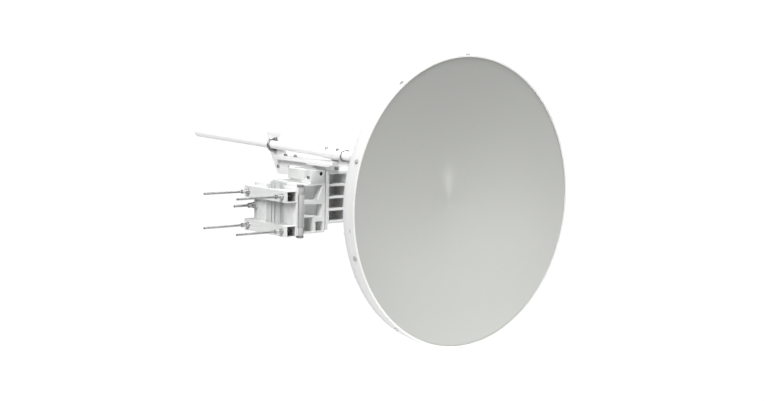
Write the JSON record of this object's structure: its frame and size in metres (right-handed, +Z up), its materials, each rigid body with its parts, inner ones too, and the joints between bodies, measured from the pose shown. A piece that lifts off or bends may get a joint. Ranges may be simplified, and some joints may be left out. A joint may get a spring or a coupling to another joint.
{
  "type": "parabolic dish antenna on a pole mount",
  "caption": "Round parabolic dish with a dipped radome, carried beside a pole clamp by a ribbed arm and bracket, with a side strut.",
  "frame": {"origin": "middle of the flat floor of the pole clamp's groove, which a vertical pole stands against", "axes": "+X from the pole to the dish's side, -Y the way the dish looks, +Z up along the pole"},
  "size_m": [1.418, 1.4296, 1.206],
  "materials": {
    "casting_grey": "light grey painted casting",
    "zinc_steel": "zinc plated, satin",
    "spun_aluminium": "spun, satin",
    "ring_white": "warm white powder coat",
    "rim_white": "white powder coat",
    "radome_grey": "light grey, satin gloss",
    "steel_white": "white powder coat",
    "cap_plastic": "matte"
  },
  "bodies": {
    "pole_clamp": {"clamp_body": "casting_grey", "upper_jaw": "casting_grey", "lower_jaw": "casting_grey", "clamp_rod_upper_front": "zinc_steel", "clamp_rod_upper_rear": "zinc_steel", "clamp_rod_lower_front": "zinc_steel", "clamp_rod_lower_rear": "zinc_steel", "clamp_nut_upper_front": "zinc_steel", "clamp_nut_upper_rear": "zinc_steel", "clamp_nut_lower_front": "zinc_steel", "clamp_nut_lower_rear": "zinc_steel", "azimuth_pivot_bolt": "zinc_steel", "azimuth_adjuster_rod": "zinc_steel", "azimuth_adjuster_nut": "zinc_steel", "azimuth_adjuster_lock_nut": "zinc_steel"},
    "azimuth_mount": {"azimuth_bracket": "casting_grey", "upper_bracket": "casting_grey", "elevation_pivot_bolt": "zinc_steel", "lock_bolt_lower": "zinc_steel", "lock_bolt_upper": "zinc_steel"},
    "antenna": {"elevation_flange": "casting_grey", "support_arm": "casting_grey", "hub_ring": "casting_grey", "feed_flange": "spun_aluminium", "reflector": "spun_aluminium", "radome_ring": "ring_white", "rim_ring": "rim_white", "radome": "radome_grey", "outrigger_foot": "steel_white", "outrigger_deck": "steel_white", "strut_outrigger": "steel_white", "rear_strut_plate": "steel_white", "front_strut_plate": "steel_white", "strut_tube": "steel_white", "strut_sleeve": "steel_white", "strut_cap_front": "cap_plastic", "strut_cap_rear": "cap_plastic", "rear_strut_saddle": "zinc_steel", "rear_u_bolt": "zinc_steel", "front_u_bolt": "zinc_steel"}
  },
  "joints": [
    {"name": "azimuth_turn", "type": "hinge", "parent": "pole_clamp", "child": "azimuth_mount", "pos_m": [0.008, -0.145, 0], "axis": [0, 0, 1], "range_deg": [-5, 5]},
    {"name": "elevation_tilt", "type": "hinge", "parent": "azimuth_mount", "child": "antenna", "pos_m": [0.137, -0.025, 0.048], "axis": [1, 0, 0], "range_deg": [-5, 5]}
  ]
}
